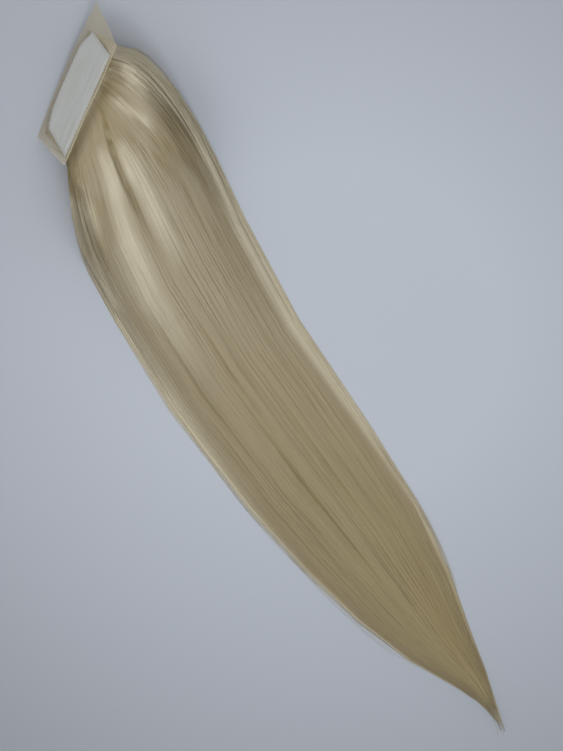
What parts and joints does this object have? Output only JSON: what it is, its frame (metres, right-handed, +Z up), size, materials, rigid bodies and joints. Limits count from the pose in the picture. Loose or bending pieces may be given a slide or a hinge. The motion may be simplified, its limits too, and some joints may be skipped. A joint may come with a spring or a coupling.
{
  "type": "silk base hair closure",
  "caption": "Hair closure lying on a table: a sheer lace base with a silk panel on its worn side, and long straight blonde hair that fans out from under it and tapers to a tip.",
  "frame": {"origin": "on the surface that the hair lies on, under the middle of the base's raised edge", "axes": "+X along the hair from the base to the tip, +Z up from the surface, +Y to the right as seen from the tip"},
  "size_m": [0.5993, 0.1292, 0.0552],
  "materials": {
    "lace": "sheer tan net of fine hexagonal mesh, matt",
    "silk": "pale grey plain weave with a soft sheen",
    "hair": "straight ash blonde hair, silky, with a sheen along the strands"
  },
  "bodies": {
    "root": {"lace_base": "lace", "silk_panel": "silk", "hair": "hair"}
  },
  "joints": []
}
